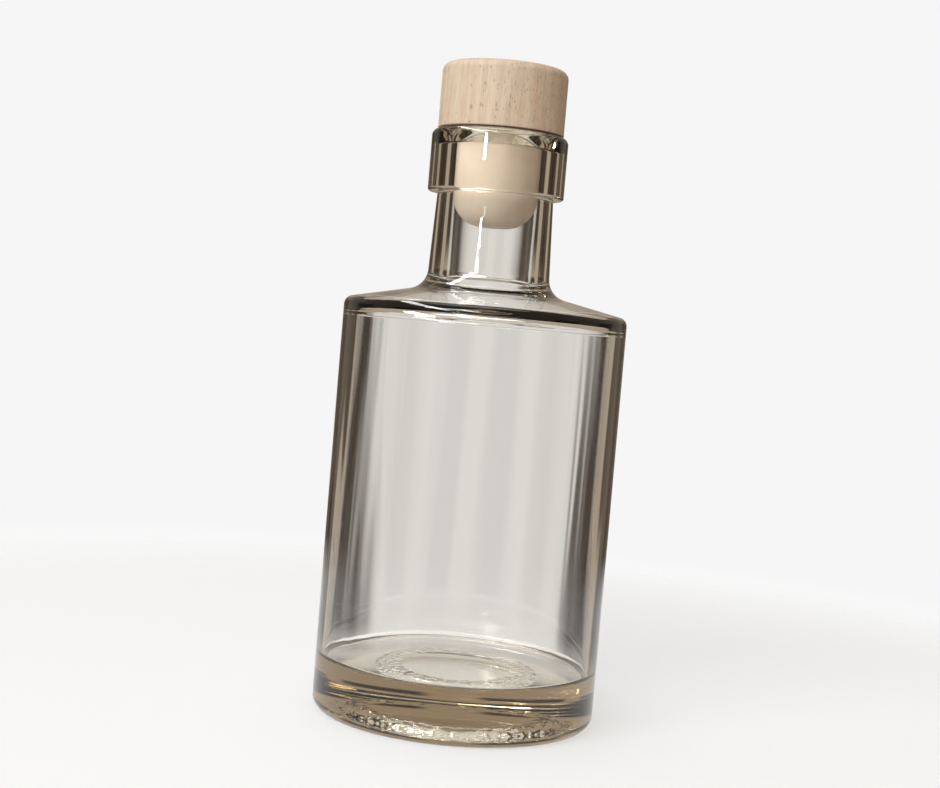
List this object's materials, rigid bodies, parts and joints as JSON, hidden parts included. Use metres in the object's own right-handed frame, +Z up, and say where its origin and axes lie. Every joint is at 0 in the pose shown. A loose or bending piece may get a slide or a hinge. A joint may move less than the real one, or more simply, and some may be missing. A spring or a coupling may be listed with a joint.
{
  "type": "glass bottle with wooden bar-top stopper",
  "caption": "Round straight-sided clear glass bottle with a heavy base, low shoulder, short collared neck and a plug-in wooden stopper.",
  "frame": {"origin": "centre of the ring that the bottle stands on, at table height", "axes": "+Z up the bottle's axis towards the stopper; the part is round, so +X and +Y are level and free, and the picture looks along +Y"},
  "size_m": [0.062, 0.062, 0.1424],
  "materials": {
    "clear_glass": "polished, faint olive tint where it is thick",
    "beech": "fine-turned, unlacquered",
    "synthetic_cork": "smooth, satin",
    "adhesive": "set hot-melt, satin"
  },
  "bodies": {
    "bottle": {"bottle": "clear_glass"},
    "stopper": {"stopper_head": "beech", "stopper_shank": "synthetic_cork", "stopper_glue": "adhesive"}
  },
  "joints": [
    {"name": "stopper_pull", "type": "slide", "parent": "bottle", "child": "stopper", "axis": [0, 0, 1], "range_m": [0, 0.06]}
  ]
}
